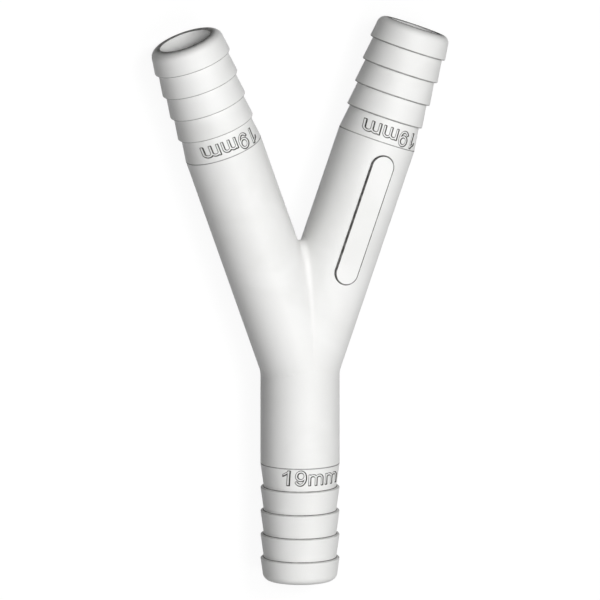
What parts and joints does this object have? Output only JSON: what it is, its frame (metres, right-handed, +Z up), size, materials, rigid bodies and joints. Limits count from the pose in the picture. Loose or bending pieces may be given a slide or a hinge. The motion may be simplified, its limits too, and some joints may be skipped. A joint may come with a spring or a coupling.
{
  "type": "tubing y connector",
  "caption": "Moulded plastic Y connector for flexible hose: plain round limbs meet in a V, each ends in a barbed tail, and an open waterway runs through them.",
  "frame": {"origin": "centre of the bottom face of the bounding box, under the moulding as it lies flat on its limbs", "axes": "+Y along the stem towards the arms, +X towards the arm that carries the raised panel, +Z up, out of the face that has the panel"},
  "size_m": [0.0812, 0.1479, 0.021],
  "materials": {
    "white_nylon": "satin"
  },
  "bodies": {
    "root": {"y_connector": "white_nylon"}
  },
  "joints": []
}
